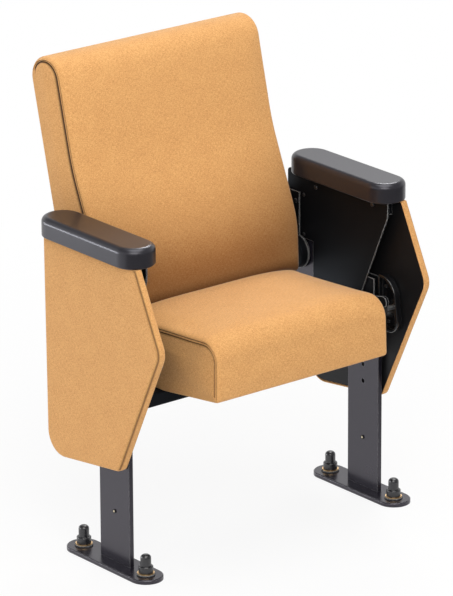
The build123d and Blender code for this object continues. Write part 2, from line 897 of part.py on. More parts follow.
# Back brackets: a plate on the standard, with a round foot, and a wing on the front of the back board
bracket_top = back_point(board_front, bracket_high)
bracket_foot = back_point(board_front, bracket_low)
with BuildPart() as back_bracket:
    with BuildSketch(standard.offset(bracket_inner)):
        with BuildLine():
            Polyline(
                (bracket_front, boss_z),
                (bracket_front, bracket_top[1]),
                bracket_top,
                bracket_foot,
                (boss_y + boss_radius, boss_z),
                close=True,
            )
        make_face()
        with Locations((boss_y, boss_z)):
            Circle(boss_radius + boss_margin)
        with Locations(*bracket_bolt_places):
            Circle(screw_dia / 2, mode=Mode.SUBTRACT)
    extrude(amount=bracket_thick)
    with BuildSketch(back_frame.offset(bracket_reach)):
        with Locations((wing_front + bracket_thick / 2, (bracket_low + bracket_high) / 2)):
            Rectangle(bracket_thick, bracket_high - bracket_low)
    extrude(amount=bracket_inner - bracket_reach)
    with BuildSketch(rear_frame.offset(-back_thick)):
        with Locations(*back_bolt_places):
            Circle(back_bolt_dia / 2)
    extrude(amount=back_thick, mode=Mode.SUBTRACT)
save_pair(back_bracket, "back_bracket")

with BuildPart() as back_bolts:
    with BuildSketch(rear_frame):
        with Locations(*back_bolt_places):
            Circle(back_bolt_dia / 2)
    extrude(amount=wing_front - back_thick)
    with BuildSketch(rear_frame):
        with Locations(*back_bolt_places):
            Circle(back_bolt_head_dia / 2)
    extrude(amount=back_bolt_rise, taper=back_bolt_taper)
save(back_bolts, "back_bolts")

# Clamp bosses: round discs on the brackets' feet, each with a ring of screws in its recess
boss_inner = bracket_inner - boss_thick
recess_floor = boss_inner + boss_recess
with BuildPart() as back_boss:
    with BuildSketch(standard.offset(boss_inner)):
        with Locations((boss_y, boss_z)):
            Circle(boss_radius)
    extrude(amount=boss_thick)
    fillet(back_boss.faces().sort_by(Axis.X)[0].edges(), boss_round)
    with BuildSketch(standard.offset(boss_inner)):
        with Locations((boss_y, boss_z)):
            Circle(boss_recess_radius)
    extrude(amount=boss_recess, mode=Mode.SUBTRACT)
    with BuildSketch(standard.offset(recess_floor)):
        with Locations((boss_y, boss_z)):
            with PolarLocations(boss_screw_circle / 2, boss_screw_count):
                Circle(screw_dia / 2)
    extrude(amount=boss_thick - boss_recess, mode=Mode.SUBTRACT)
save_pair(back_boss, "back_boss")

with BuildPart() as boss_screws:
    with BuildSketch(standard.offset(recess_floor)):
        with Locations((boss_y, boss_z)):
            with PolarLocations(boss_screw_circle / 2, boss_screw_count):
                Circle(small_head_dia / 2)
    extrude(amount=-small_head_rise)
    with BuildSketch(standard.offset(recess_floor)):
        with Locations((boss_y, boss_z)):
            with PolarLocations(boss_screw_circle / 2, boss_screw_count):
                Circle(screw_dia / 2)
    extrude(amount=boss_thick - boss_recess)
save_group(boss_screws, "boss_screws")
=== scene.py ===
import json
import math

import bmesh
import bpy
from mathutils import Matrix, Vector, geometry, kdtree


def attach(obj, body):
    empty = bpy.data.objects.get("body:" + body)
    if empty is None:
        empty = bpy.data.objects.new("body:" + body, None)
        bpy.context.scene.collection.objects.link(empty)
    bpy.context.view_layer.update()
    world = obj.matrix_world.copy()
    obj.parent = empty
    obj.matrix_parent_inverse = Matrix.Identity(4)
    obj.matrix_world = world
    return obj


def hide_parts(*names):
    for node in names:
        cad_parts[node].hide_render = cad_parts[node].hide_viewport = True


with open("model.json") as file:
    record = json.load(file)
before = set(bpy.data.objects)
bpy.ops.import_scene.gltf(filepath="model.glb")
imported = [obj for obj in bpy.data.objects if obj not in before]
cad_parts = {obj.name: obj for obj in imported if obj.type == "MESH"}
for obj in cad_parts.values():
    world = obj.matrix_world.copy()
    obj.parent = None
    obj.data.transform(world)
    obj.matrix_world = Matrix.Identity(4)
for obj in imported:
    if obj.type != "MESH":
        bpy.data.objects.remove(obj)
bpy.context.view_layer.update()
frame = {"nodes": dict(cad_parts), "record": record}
scene = bpy.context.scene
standardY = -69.6  # the legs' middle in mm, from which the side outlines are measured
millimetre = 0.001
print("frame loaded")


# A wire is a node's output, and a sum or product of wires becomes Math nodes
class Wire:
    def __init__(self, finish, socket):
        self.finish, self.socket = finish, socket

    def __add__(self, other):
        return self.finish.maths("ADD", self, other)

    def __radd__(self, other):
        return self.finish.maths("ADD", other, self)

    def __sub__(self, other):
        return self.finish.maths("SUBTRACT", self, other)

    def __rsub__(self, other):
        return self.finish.maths("SUBTRACT", other, self)

    def __mul__(self, other):
        return self.finish.maths("MULTIPLY", self, other)

    def __rmul__(self, other):
        return self.finish.maths("MULTIPLY", other, self)

    def __abs__(self):
        return self.finish.maths("ABSOLUTE", self)


class Finish:
    def __init__(self, name, tree=None):
        if tree is None:
            self.material = bpy.data.materials.new(name)
            self.material.use_nodes = True
            tree = self.material.node_tree
        self.tree = tree
        self.tree.nodes.clear()

    def node(self, kind, settings=None, sockets=None, out=0):
        made = self.tree.nodes.new("ShaderNode" + kind)
        for key, value in (settings or {}).items():
            if key == "stops":
                ramp = made.color_ramp
                ramp.elements[0].position, ramp.elements[0].color = value[0][0], (*value[0][1], 1)
                ramp.elements[1].position, ramp.elements[1].color = value[-1][0], (*value[-1][1], 1)
                for place, colour in value[1:-1]:
                    ramp.elements.new(place).color = (*colour, 1)
            else:
                setattr(made, key, value)
        for key, value in (sockets or {}).items():
            target = made.inputs[key] if isinstance(key, int) else self.pick(made.inputs, key)
            if isinstance(value, Wire):
                self.tree.links.new(value.socket, target)
            else:
                target.default_value = value
        return Wire(self, made.outputs[out] if isinstance(out, int) else self.pick(made.outputs, out))

    def pick(self, sockets, name):
        return next(s for s in sockets if s.name == name and s.enabled)

    def maths(self, operation, *values):
        return self.node("Math", {"operation": operation}, dict(enumerate(values)))

    def mix(self, factor, first, second, blend="MIX"):
        settings = {"data_type": "RGBA", "blend_type": blend}
        return self.node("Mix", settings, {"Factor": factor, "A": first, "B": second}, "Result")

    def scaled(self, vector, factors):
        return self.node("VectorMath", {"operation": "MULTIPLY"}, {0: vector, 1: factors})

    def place(self):
        return self.node("TexCoord", out="Object")

    def noise(self, vector, scale, detail=3.0, rough=0.55):
        sockets = {"Vector": vector, "Scale": scale, "Detail": detail, "Roughness": rough}
        return self.node("TexNoise", {}, sockets)

    def bump(self, height, depth, strength=1.0, normal=None):
        sockets = {"Height": height, "Distance": depth, "Strength": strength}
        if normal is not None:
            sockets["Normal"] = normal
        return self.node("Bump", {}, sockets)

    def surface(self, sockets):
        self.output(self.node("BsdfPrincipled", {}, sockets))
        return self.material

    def axes(self, vector):
        parts = self.tree.nodes.new("ShaderNodeSeparateXYZ")
        self.tree.links.new(vector.socket, parts.inputs[0])
        return [Wire(self, output) for output in parts.outputs]

    def output(self, shader, kind="ShaderNodeOutputMaterial"):
        made = self.tree.nodes.new(kind)
        self.tree.links.new(shader.socket, made.inputs["Surface"])


# Cloth: a plain weave of mixed yarns, laid by the piece's own UV map in metres
cloth = {
    "pitch": 0.00125,  # from one yarn to the next
    "dark": (0.525, 0.243, 0.081),
    "middle": (0.725, 0.372, 0.134),
    "light": (0.86, 0.50, 0.2),
    # painted shade in the seams' grooves
    "seam": (0.035, 0.014, 0.006),
    "crease": (0.25, 0.19, 0.13),  # painted shade, deepest between seat and back
    "rough": 0.9,
    "yarnScale": 760,
    "yarnStretch": 0.22,
    "fleckScale": 900,
    "cloudScale": 28,
    "fuzzScale": 1500,
    "weaveDepth": 0.00028,
}


def clothFinish():
    made = Finish("tanCloth")
    flat = made.node("UVMap", {"uv_map": "weave"})
    across, along, _ = made.axes(flat)
    turn = math.pi / cloth["pitch"]
    warp = made.maths("SINE", across * turn)
    weft = made.maths("SINE", along * turn)
    over = warp * weft
    warpHeight = abs(warp) * (0.55 + 0.45 * over)
    weftHeight = abs(weft) * (0.55 - 0.45 * over)
    height = made.maths("MAXIMUM", warpHeight, weftHeight)
    onTop = made.maths("GREATER_THAN", warpHeight, weftHeight)
    stretch = cloth["yarnStretch"]
    warpTone = made.noise(made.scaled(flat, (1, stretch, 1)), cloth["yarnScale"], 2.0)
    weftTone = made.noise(made.scaled(flat, (stretch, 1, 1)), cloth["yarnScale"], 2.0)
    yarn = made.mix(onTop, weftTone, warpTone)
    flecks = made.noise(flat, cloth["fleckScale"], 2.0, 0.6)
    clouds = made.noise(flat, cloth["cloudScale"], 3.0)
    tone = made.mix(0.38, yarn, flecks)
    tone = made.mix(0.07, tone, clouds)
    stops = [(0.38, cloth["dark"]), (0.5, cloth["middle"]), (0.62, cloth["light"])]
    colour = made.node("ValToRGB", {"stops": stops}, {"Fac": tone})
    shade = made.node("ValToRGB", {"stops": [(0.0, (0.72, 0.72, 0.72)), (0.75, (1, 1, 1))]}, {"Fac": height})
    colour = made.mix(0.55, colour, shade, "MULTIPLY")
    # Painted shade: the crease attribute darkens the cloth towards the crease between seat and back
    crease = made.node("Attribute", {"attribute_name": "crease"}, out="Fac")
    deepShade = made.mix(1.0, colour, (*cloth["crease"], 1), "MULTIPLY")
    colour = made.mix(crease, colour, deepShade)
    # Painted shade in the seams' grooves, read from the seam attribute
    seam = made.node("Attribute", {"attribute_name": "seam"}, out="Fac")
    colour = made.mix(seam, colour, (*cloth["seam"], 1))
    fuzz = made.noise(flat, cloth["fuzzScale"], 2.0)
    normal = made.bump(height + 0.5 * fuzz, cloth["weaveDepth"], 0.55)
    return made.surface({
        "Base Color": colour,
        "Roughness": cloth["rough"],
        "Sheen Weight": 0.36,
        "Sheen Roughness": 0.36,
        "Sheen Tint": (1.0, 0.9, 0.75, 1),
        "Specular IOR Level": 0.25,
        "Normal": normal,
    })


# Hard finishes, from one recipe: colour, a little unevenness, gloss, a fine surface and edges lightened by
# wear and a painted highlight
hardRecipe = {
    "patchScale": 9.0,  # slow unevenness of tone and gloss
    "patchShare": 0.35,
    "edgeTurn": (0.02, 0.13),  # the normal's turn where an edge starts to lighten, and where it is lightest
    "coatRough": 0.08,
}


def hardFinish(name, colour, rough, metal=0.0, grain=900.0, depth=0.00003, uneven=0.12, coat=0.0, spread=0.08,
               level=0.5, edge=0.0, wornAndHighlit=0.4, bareAndHighlit=0.16, tint=(1.0, 1.0, 1.0)):
    made = Finish(name)
    place = made.place()
    soft = made.noise(place, hardRecipe["patchScale"], 3.0)
    fine = made.noise(place, grain, 2.0)
    darker = tuple(c * (1 - uneven) for c in colour)
    lighter = tuple(min(1.0, c * (1 + uneven)) for c in colour)
    tone = made.mix(hardRecipe["patchShare"], soft, fine)
    base = made.node("ValToRGB", {"stops": [(0.3, darker), (0.7, lighter)]}, {"Fac": tone})
    rounded = None
    if edge:
        rounded = made.node("Bevel", {"samples": 6}, {"Radius": edge})
        flat = made.node("NewGeometry", out="Normal")
        turned = 1 - made.node("VectorMath", {"operation": "DOT_PRODUCT"}, {0: rounded, 1: flat}, "Value")
        low, high = hardRecipe["edgeTurn"]
        # painted edge highlight, partly worn paint: the colour lightens where the rounded normal turns away
        # from the flat one
        rim = made.node("MapRange", {}, {"Value": turned, "From Min": low, "From Max": high})
        base = made.mix(rim * wornAndHighlit, base, tuple(min(1.0, bareAndHighlit + 2 * c) for c in colour) + (1,))
    sockets = {
        "Base Color": base,
        "Roughness": rough - spread / 2 + spread * soft,
        "Metallic": metal,
        "Specular IOR Level": level,
        "Specular Tint": (*tint, 1),
        "Normal": made.bump(fine, depth, 0.6, rounded),
    }
    if coat:
        sockets["Coat Weight"] = coat
        sockets["Coat Roughness"] = hardRecipe["coatRough"]
    return made.surface(sockets)


# Zinc or brass with fine machining lines
turnedRecipe = {"lineScale": (60, 60, 2400), "lineDepth": 0.00002, "patchScale": 120, "darker": 0.8}


def turnedFinish(name, colour, rough):
    made = Finish(name)
    place = made.place()
    lines = made.noise(made.scaled(place, turnedRecipe["lineScale"]), 1.0, 3.0)
    patches = made.noise(place, turnedRecipe["patchScale"], 3.0)
    darker = tuple(c * turnedRecipe["darker"] for c in colour)
    base = made.node("ValToRGB", {"stops": [(0.35, darker), (0.65, colour)]}, {"Fac": patches})
    return made.surface({
        "Base Color": base,
        "Metallic": 1.0,
        "Roughness": rough + 0.15 * (lines - 0.5) + 0.1 * (patches - 0.5),
        "Normal": made.bump(lines, turnedRecipe["lineDepth"], 0.5),
    })


# Rivet heads carry a painted glint in the middle and painted shade round the rim
rivetHead = {
    "glintRadius": 0.0012, "rimShadeRadius": 0.0028,
    # the painted glint's colour, then the painted rim shade's colour
    "bareAndHighlit": (0.7, 0.6, 0.42, 1), "rim": (0.01, 0.01, 0.012, 1),
    "wearScale": 900,
}


def rivetFinish():
    made = Finish("rivetHead")
    verts = frame["nodes"]["leg_rivets"].data.vertices
    centre = sum((vert.co for vert in verts), Vector()) / len(verts)
    offset = made.node("VectorMath", {"operation": "SUBTRACT"}, {0: made.place(), 1: tuple(centre)})
    aside = made.scaled(offset, (0, 1, 1))  # the two rivets lie on one line across the seat
    radius = made.node("VectorMath", {"operation": "LENGTH"}, {0: aside}, "Value")
    middle = made.node("MapRange", {"interpolation_type": "SMOOTHSTEP"}, {
        "Value": radius, "From Min": rivetHead["rimShadeRadius"], "From Max": rivetHead["glintRadius"],
    })
    wear = made.noise(made.place(), rivetHead["wearScale"], 2.0)
    return made.surface({
        # painted glint in the middle, painted shade round the rim
        "Base Color": made.mix(middle, rivetHead["rim"], rivetHead["bareAndHighlit"]),
        "Metallic": 0.6,
        "Roughness": 0.24 + 0.16 * wear,
        "Normal": made.bump(wear, 0.00002, 0.4),
    })


birchPly = {
    "grainScale": (6, 90, 90),
    "plyScale": 105.0,
    "stops": [(0.3, (0.44, 0.27, 0.13)), (0.55, (0.62, 0.43, 0.24)), (0.75, (0.72, 0.54, 0.33))],
}


def plyFinish():
    made = Finish("birchPly")
    place = made.place()
    grain = made.noise(made.scaled(place, birchPly["grainScale"]), 3.0, 5.0, 0.65)
    plies = made.node("TexWave", {"wave_type": "BANDS", "bands_direction": "Z"}, {
        "Vector": place, "Scale": birchPly["plyScale"], "Distortion": 0.6, "Detail": 2.0,
    }, "Fac")
    base = made.node("ValToRGB", {"stops": birchPly["stops"]}, {"Fac": made.mix(0.25, grain, plies)})
    return made.surface({
        "Base Color": base,
        "Roughness": 0.62,
        "Normal": made.bump(grain, 0.0002, 0.4),
    })


finishes = {
    "cloth": clothFinish(),
    "frameCoat": hardFinish(
        "greyPowderCoat", (0.011, 0.0098, 0.0155), 0.26, grain=1400, depth=0.00002, level=0.72,
        edge=0.0014, wornAndHighlit=0.7, bareAndHighlit=0.38, tint=(0.94, 0.89, 1.0),
    ),
    "blackCoat": hardFinish(
        "blackPowderCoat", (0.0055, 0.0058, 0.007), 0.45, grain=1400, depth=0.00003, level=0.12,
        edge=0.0018, wornAndHighlit=1.0, bareAndHighlit=0.5, tint=(0.6, 0.78, 1.0),
    ),
    "pad": hardFinish(
        "armrestFoam", (0.015, 0.014, 0.018), 0.3, grain=2200, depth=0.00001, level=0.62,
        tint=(0.92, 0.91, 1.0),
    ),
    "shell": hardFinish(
        "grainedShell", (0.02, 0.02, 0.022), 0.5, grain=700, depth=0.00012, edge=0.001, wornAndHighlit=0.2,
    ),
    "glossBlack": hardFinish(
        "glossBlack", (0.006, 0.006, 0.007), 0.16, grain=200, depth=0.00001, coat=0.7, spread=0.04,
        edge=0.001, wornAndHighlit=0.5,
    ),
    "steel": turnedFinish("zincSteel", (0.6, 0.6, 0.61), 0.32),
    "blackScrew": hardFinish("blackOxide", (0.07, 0.07, 0.075), 0.3, metal=0.8, grain=1200, edge=0.0006),
    "holeScrew": hardFinish("dullBlackOxide", (0.008, 0.008, 0.009), 0.5, metal=0.3, grain=1200),
    "rivet": rivetFinish(),
    "capBlack": hardFinish(
        "capPlastic", (0.01, 0.01, 0.013), 0.26, depth=0.00001, level=0.85, edge=0.0008, wornAndHighlit=0.3, bareAndHighlit=0.1,
    ),
    "golden": turnedFinish("goldenRing", (1.0, 0.69, 0.36), 0.34),
    "sleeve": hardFinish("rubberSleeve", (0.02, 0.02, 0.02), 0.7, grain=600, depth=0.00006),
    "bearing": hardFinish("nylonBearing", (0.05, 0.05, 0.05), 0.45),
    "ply": plyFinish(),
    "blackBoard": hardFinish("blackLacquer", (0.006, 0.006, 0.007), 0.5, grain=500, depth=0.00006, level=0.2),
}
slotFinish = {
    "upholstery": "cloth", "plywood": "ply", "black_board": "blackBoard", "frame_coat": "frameCoat",
    "black_coat": "blackCoat", "pad": "pad", "shell": "shell", "gloss_black": "glossBlack", "steel": "steel",
    "black_screw": "blackScrew", "golden": "golden", "sleeve": "sleeve", "bearing": "bearing",
}
nodeFinish = {"leg_rivets": "rivet", "panel_screws": "holeScrew", "anchor_caps": "capBlack"}
for part in frame["record"]["subparts"]:
    cadMesh = frame["nodes"][part["node"]].data
    cadMesh.materials.clear()
    cadMesh.materials.append(finishes[nodeFinish.get(part["node"], slotFinish[part["material_slot"]])])
print("finishes made")


# Side outlines: rounded polygons in millimetres, drawn clockwise, whose edges can each move inward
def cornersOf(corners, rounds, insets):
    size = len(corners)
    edges = []
    for i in range(size):
        start, end = Vector(corners[i]), Vector(corners[(i + 1) % size])
        along = (end - start).normalized()
        edges.append((start + Vector((along.y, -along.x)) * insets[i], along))
    found = []
    for i in range(size):
        (start, before), (other, after) = edges[i - 1], edges[i]
        cross = before.x * after.y - before.y * after.x
        gap = other - start
        corner = start + before * ((gap.x * after.y - gap.y * after.x) / cross)
        turn = math.atan2(cross, before.dot(after))
        side = -1 if cross > 0 else 1  # a hollow corner has its centre outside
        radius = max(rounds[i] - side * (insets[i - 1] + insets[i]) / 2, 0.4)
        reach = radius * math.tan(abs(turn) / 2)
        first = corner - before * reach
        centre = first + Vector((before.y, -before.x)) * side * radius
        found.append((first, corner + after * reach, centre, turn, radius))
    return found


def countsFor(corners, rounds, step, arcStep):
    found = cornersOf(corners, rounds, [0] * len(corners))
    counts = []
    for i, (_, last, _, turn, radius) in enumerate(found):
        straight = (found[(i + 1) % len(found)][0] - last).length
        counts.append((max(2, math.ceil(radius * abs(turn) / arcStep)), max(1, math.ceil(straight / step))))
    return counts


def outline(corners, rounds, insets, counts):
    found = cornersOf(corners, rounds, insets)
    points = []
    for i, (first, last, centre, turn, _) in enumerate(found):
        arc, straight = counts[i]
        spoke = first - centre
        for k in range(arc):
            cosine, sine = math.cos(turn * k / arc), math.sin(turn * k / arc)
            turned = Vector((spoke.x * cosine - spoke.y * sine, spoke.x * sine + spoke.y * cosine))
            points.append(centre + turned)
        following = found[(i + 1) % len(found)][0]
        points += [last.lerp(following, k / straight) for k in range(straight)]
    return points


def smoothStep(low, high, value):
    share = min(1.0, max(0.0, (value - low) / (high - low)))
    return share * share * (3 - 2 * share)


def segmentGap(point, start, end):
    along = end - start
    share = min(1.0, max(0.0, (point - start).dot(along) / max(along.length_squared, 1e-9)))
    return (point - start - along * share).length


def ringGap(point, ring):
    return min(segmentGap(point, ring[i - 1], ring[i]) for i in range(len(ring)))


def insideRing(point, ring):
    inside = False
    for i in range(len(ring)):
        a, b = ring[i - 1], ring[i]
        crosses = (a.y > point.y) != (b.y > point.y)
        if crosses and point.x < (b.x - a.x) * (point.y - a.y) / (b.y - a.y) + a.x:
            inside = not inside
    return inside


# A padded piece: rings of points, one outline each, joined by quads, and its two ends filled with a fine net
netMargin = 0.55  # how near the net's points come to the ring, as a share of its step


class Padding:
    def __init__(self, name, place):
        self.name, self.place = name, place  # place turns (x, outline point) into metres
        self.mesh = bmesh.new()
        self.uv = self.mesh.loops.layers.uv.new("weave")
        # the seam layer holds painted shade for the seams' grooves
        self.seam = self.mesh.verts.layers.float.new("seam")
        self.rings = []

    def ring(self, xs, flat, dark, travel, isSide):
        lengths = [0.0]
        for i in range(1, len(flat)):
            lengths.append(lengths[-1] + (flat[i] - flat[i - 1]).length)
        lengths.append(lengths[-1] + (flat[0] - flat[-1]).length)
        verts = []
        for i, point in enumerate(flat):
            vert = self.mesh.verts.new(self.place(xs[i], point))
            vert[self.seam] = dark[i]
            verts.append(vert)
        self.rings.append({
            "verts": verts, "flat": flat, "xs": xs, "lengths": lengths, "travel": travel, "isSide": isSide,
        })

    def join(self):
        for near, far in zip(self.rings, self.rings[1:]):
            verts, others = near["verts"], far["verts"]
            size = len(verts)
            lying = near["isSide"] and far["isSide"]
            for i in range(size):
                j = (i + 1) % size
                face = self.mesh.faces.new((verts[i], verts[j], others[j], others[i]))
                for loop, (ring, at) in zip(face.loops, ((near, i), (near, i + 1), (far, i + 1), (far, i))):
                    spot = ring["flat"][at % size] if lying else Vector((ring["travel"], ring["lengths"][at]))
                    loop[self.uv].uv = spot * millimetre

    def fill(self, ring, dome, step, edge):
        verts, flat, xs = (self.rings[ring][key] for key in ("verts", "flat", "xs"))
        low = Vector((min(p.x for p in flat), min(p.y for p in flat)))
        high = Vector((max(p.x for p in flat), max(p.y for p in flat)))
        inner = []
        across, up = int((high.x - low.x) / step), int((high.y - low.y) / step)
        for i in range(across + 1):
            for k in range(up + 1):
                point = Vector((low.x + (i + 0.5 * (k % 2)) * step, low.y + k * step))
                if insideRing(point, flat) and ringGap(point, flat) > step * netMargin:
                    inner.append(point)
        size = len(flat)
        borders = [(i, (i + 1) % size) for i in range(size)]
        found, _, faces, origins, _, _ = geometry.delaunay_2d_cdt(flat + inner, borders, [], 1, 1e-7)
        made = []
        for point, origin in zip(found, origins):
            if origin and origin[0] < size:
                made.append(verts[origin[0]])
            else:
                rise = dome * (1 - math.exp(-ringGap(point, flat) / edge))
                made.append(self.mesh.verts.new(self.place(xs[0] + rise, point)))
        for corners in faces:
            face = self.mesh.faces.new([made[c] for c in corners])
            for loop, c in zip(face.loops, corners):
                loop[self.uv].uv = found[c] * millimetre

    def finished(self, swell=None, crease=None):
        bmesh.ops.recalc_face_normals(self.mesh, faces=self.mesh.faces)
        # crease: painted shade, stored on each point
        if crease:
            deepShade = self.mesh.verts.layers.float.new("crease")
            for vert in self.mesh.verts:
                vert[deepShade] = crease(vert.co)
        data = bpy.data.meshes.new(self.name)
        self.mesh.to_mesh(data)
        self.mesh.free()
        data.polygons.foreach_set("use_smooth", [True] * len(data.polygons))
        piece = bpy.data.objects.new(self.name, data)
        scene.collection.objects.link(piece)
        data.materials.append(finishes["cloth"])
        if swell:
            swollen(piece, swell)
        smooth = piece.modifiers.new("smooth", "SUBSURF")
        smooth.levels = smooth.render_levels = 1
        applyAll(piece)
        return piece


def selectOnly(piece):
    bpy.ops.object.select_all(action="DESELECT")
    piece.select_set(True)
    bpy.context.view_layer.objects.active = piece


def applyAll(piece):
    selectOnly(piece)
    for modifier in list(piece.modifiers):
        bpy.ops.object.modifier_apply(modifier=modifier.name)


# Foam under cloth: a slightly smaller copy is blown up as cloth, and the pad takes a share of its movement
foam = {
    "smaller": 0.004, "quality": 5, "mass": 0.3, "pressure": 4.0, "frames": 20,
    "stretch": 15, "shear": 5, "bend": 0.5,  # stiffness
    "cap": 0.005,  # no point of the copy moves further than this
    "share": 0.45, "neighbours": 6,
}


def swollen(piece, swell):
    body = piece.copy()
    body.data = piece.data.copy()
    scene.collection.objects.link(body)
    smaller = body.modifiers.new("smaller", "DISPLACE")
    smaller.strength, smaller.mid_level = -foam["smaller"], 0
    skin = body.modifiers.new("skin", "REMESH")
    skin.mode, skin.voxel_size = "VOXEL", swell["voxel"]
    applyAll(body)
    still = body.vertex_groups.new(name="still")
    for vert in body.data.vertices:
        held = 1 - swell["free"](vert.co)
        if held > 0:
            still.add([vert.index], held, "REPLACE")
    sim = body.modifiers.new("cloth", "CLOTH")
    made = sim.settings
    made.quality, made.mass = foam["quality"], foam["mass"]
    made.tension_stiffness = made.compression_stiffness = foam["stretch"]
    made.shear_stiffness, made.bending_stiffness = foam["shear"], foam["bend"]
    made.use_pressure, made.uniform_pressure_force = True, foam["pressure"]
    made.effector_weights.gravity = 0
    made.vertex_group_mass = "still"
    sim.point_cache.frame_start, sim.point_cache.frame_end = 1, foam["frames"]
    places = [vert.co.copy() for vert in body.data.vertices]
    for step in range(1, foam["frames"] + 1):
        scene.frame_set(step)
    applyAll(body)
    scene.frame_set(1)
    tree = kdtree.KDTree(len(places))
    moves = []
    for i, start in enumerate(places):
        move = body.data.vertices[i].co - start
        moves.append(move * (math.tanh(move.length / foam["cap"]) * foam["cap"] / max(move.length, 1e-9)))
        tree.insert(start, i)
    tree.balance()
    for vert in piece.data.vertices:
        near = tree.find_n(vert.co, foam["neighbours"])
        weights = [1 / (gap + millimetre) for _, _, gap in near]
        move = sum((moves[i] * w for (_, i, _), w in zip(near, weights)), Vector()) / sum(weights)
        vert.co += move * foam["share"] * swell["free"](vert.co)
    bpy.data.objects.remove(body)


sharpAngle = 55  # degrees, past which an edge of a pocket stays sharp


def cutBlocks(piece, blocks):
    for middle, size, turn in blocks:
        bpy.ops.object.select_all(action="DESELECT")
        bpy.ops.mesh.primitive_cube_add(size=1, location=middle, rotation=(turn, 0, 0), scale=size)
        block = bpy.context.object
        cut = piece.modifiers.new("pocket", "BOOLEAN")
        cut.operation, cut.solver, cut.object = "DIFFERENCE", "EXACT", block
        applyAll(piece)
        bpy.data.objects.remove(block)
    bpy.ops.object.shade_smooth_by_angle(angle=math.radians(sharpAngle))


# How the sides of seat and back are sewn, in rings of points that run from the rolled edge inward
sewing = {
    "rollRings": 7, "rollStart": 12, "rollTurn": 13,  # the rolled edge, in degrees
    "beadRings": 6, "beadStart": 200, "beadTurn": 220,  # the bead of piping between its two valleys
    "plainRings": 9, "plainShare": 0.6, "plainGap": 1.1,  # the edge where no seam is sewn
    "sideFrom": 18,  # the first ring whose cloth lies flat on the side
    "weaveGap": 2.5,  # length of cloth from ring to ring, up to there
    "domeEdge": 30,  # how far in from its rim the side's dome rises
}


# Each step: how far out of the half width, share of the edge's roll, further inset, painted shade in the seam
def sideSteps(roll, piping, valleys):
    steps = []
    for k in range(sewing["rollRings"]):
        angle = math.radians(sewing["rollStart"] + sewing["rollTurn"] * k)
        steps.append((-roll * (1 - math.sin(angle)), 1 - math.cos(angle), 0.0, 0.0))
    first, second, dip, dark = valleys  # width before the bead, width after it, depth, painted shade in the valleys
    steps.append((-0.37 * dip, 1, 0.3, 0.7 * dark))
    steps.append((-0.83 * dip, 1, 0.8, dark))
    steps.append((-dip, 1, 0.4 + first, dark))
    bead, last = 0.8 + first, sewing["beadRings"]
    for k in range(last + 1):
        angle = math.radians(sewing["beadStart"] - sewing["beadTurn"] * k / last)
        # painted shade where the bead meets its valleys
        tone = 0.0 if 0 < k < last else 0.8
        steps.append((-0.49 * dip + piping * math.sin(angle), 1, bead + piping * (1 + math.cos(angle)), tone))
    bead += 2 * piping
    steps.append((-dip, 1, bead + 0.4, 1.0))
    steps.append((-0.75 * dip, 1, bead + second, 0.9))
    steps.append((-0.3 * dip, 1, bead + second + 1.3, 0.3))
    steps.append((-0.3, 1, bead + second + 4, 0.0))
    steps.append((0.0, 1, bead + second + 9, 0.0))
    return steps


def plainSteps(count, roll):
    start, rings = sewing["rollStart"], sewing["plainRings"]
    steps = []
    for k in range(count):
        angle = math.radians(start + (90 - start) * min(1.0, k / rings))
        extra = max(0, k - rings) * sewing["plainGap"]
        steps.append((-roll * (1 - math.sin(angle)) * sewing["plainShare"], 1 - math.cos(angle), extra, 0.0))
    return steps


# Rings of points run from the left side, over the whole width, to the right side
def cushion(name, made):
    half, roll = made["half"], made["rollWidth"]
    corners, rounds, depths = made["corners"], made["rounds"], made["rollDepths"]
    counts = countsFor(corners(0), rounds, made["step"], made["arcStep"])
    base = outline(corners(0), rounds, [0] * len(rounds), counts)
    weights = [made["seamShare"](point) for point in base]
    pad = Padding(name, made["place"])

    def crownAt(x):
        return made["crown"] * (1 - min(1.0, abs(x) / half) ** made["crownPower"])

    def sideRing(sign, seam, plain, travel, isSide):
        inner = [depth * seam[1] + seam[2] * spread for depth, spread in zip(depths, made["seamSpread"])]
        outer = [depth * plain[1] + plain[2] for depth in depths]
        xSeam, xPlain = half + seam[0], half + plain[0]
        seamLine = outline(corners(crownAt(xSeam)), rounds, inner, counts)
        plainLine = outline(corners(crownAt(xPlain)), rounds, outer, counts)
        flat = [b.lerp(a, w) for a, b, w in zip(seamLine, plainLine, weights)]
        xs = [sign * (xPlain + (xSeam - xPlain) * w) for w in weights]
        # painted shade in the seam, only where a seam is sewn
        pad.ring(xs, flat, [seam[3] * w * w for w in weights], sign * travel, isSide)

    seams = sideSteps(roll, made["piping"], made["valleys"])
    pairs = list(zip(seams, plainSteps(len(seams), roll)))
    reach = half - roll
    for k in reversed(range(len(pairs))):
        sideRing(-1, *pairs[k], reach + sewing["weaveGap"] * k, k >= sewing["sideFrom"])
    columns = math.ceil(2 * reach / made["column"])
    for k in range(columns + 1):
        x = -reach + 2 * reach * k / columns
        flat = outline(corners(crownAt(x)), rounds, [0] * len(rounds), counts)
        pad.ring([x] * len(flat), flat, [0.0] * len(flat), x, False)
    for k in range(len(pairs)):
        sideRing(1, *pairs[k], reach + sewing["weaveGap"] * k, k >= sewing["sideFrom"])
    pad.join()
    pad.fill(0, -made["dome"], made["net"], sewing["domeEdge"])
    pad.fill(len(pad.rings) - 1, made["dome"], made["net"], sewing["domeEdge"])
    return pad


def standPlace(x, point):
    return Vector((x, standardY + point.x, point.y)) * millimetre


